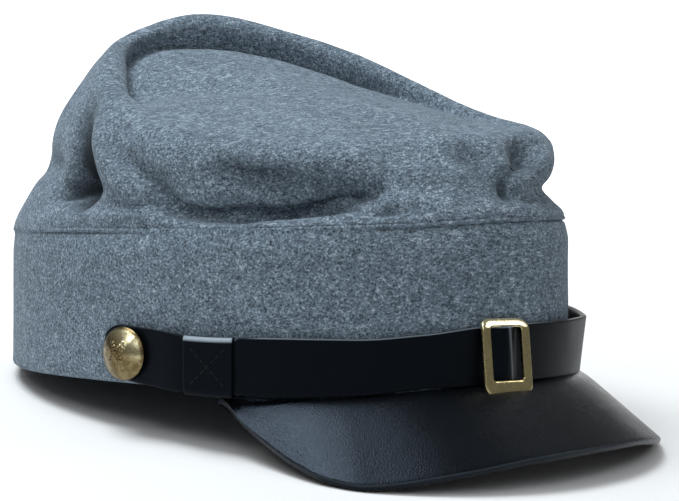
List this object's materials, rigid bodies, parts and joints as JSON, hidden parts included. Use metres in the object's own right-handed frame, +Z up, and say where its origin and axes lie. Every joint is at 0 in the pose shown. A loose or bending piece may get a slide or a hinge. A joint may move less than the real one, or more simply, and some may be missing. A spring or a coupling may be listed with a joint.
{
  "type": "kepi cap",
  "caption": "Soft grey wool kepi with a sunken round top, a slumped crown, a black leather peak, and a leather chin strap with a brass slide, keeper and side buttons.",
  "frame": {"origin": "centre of the object's box on the surface that it rests on", "axes": "+Z up from that surface, -Y towards the front where the peak is, -X towards the wearer's right"},
  "size_m": [0.1852, 0.2398, 0.1303],
  "materials": {
    "grey_wool": "fulled blue-grey wool, heathered, matt and fuzzy",
    "black_leather": "smooth black leather, satin, fine grain",
    "aged_brass": "lightly aged brass, satin to polished"
  },
  "bodies": {
    "root": {"band": "grey_wool", "crown_side": "grey_wool", "crown_top": "grey_wool", "peak": "black_leather", "chin_strap": "black_leather", "keeper": "black_leather", "buckle": "aged_brass", "button_right": "aged_brass", "button_left": "aged_brass"}
  },
  "joints": []
}
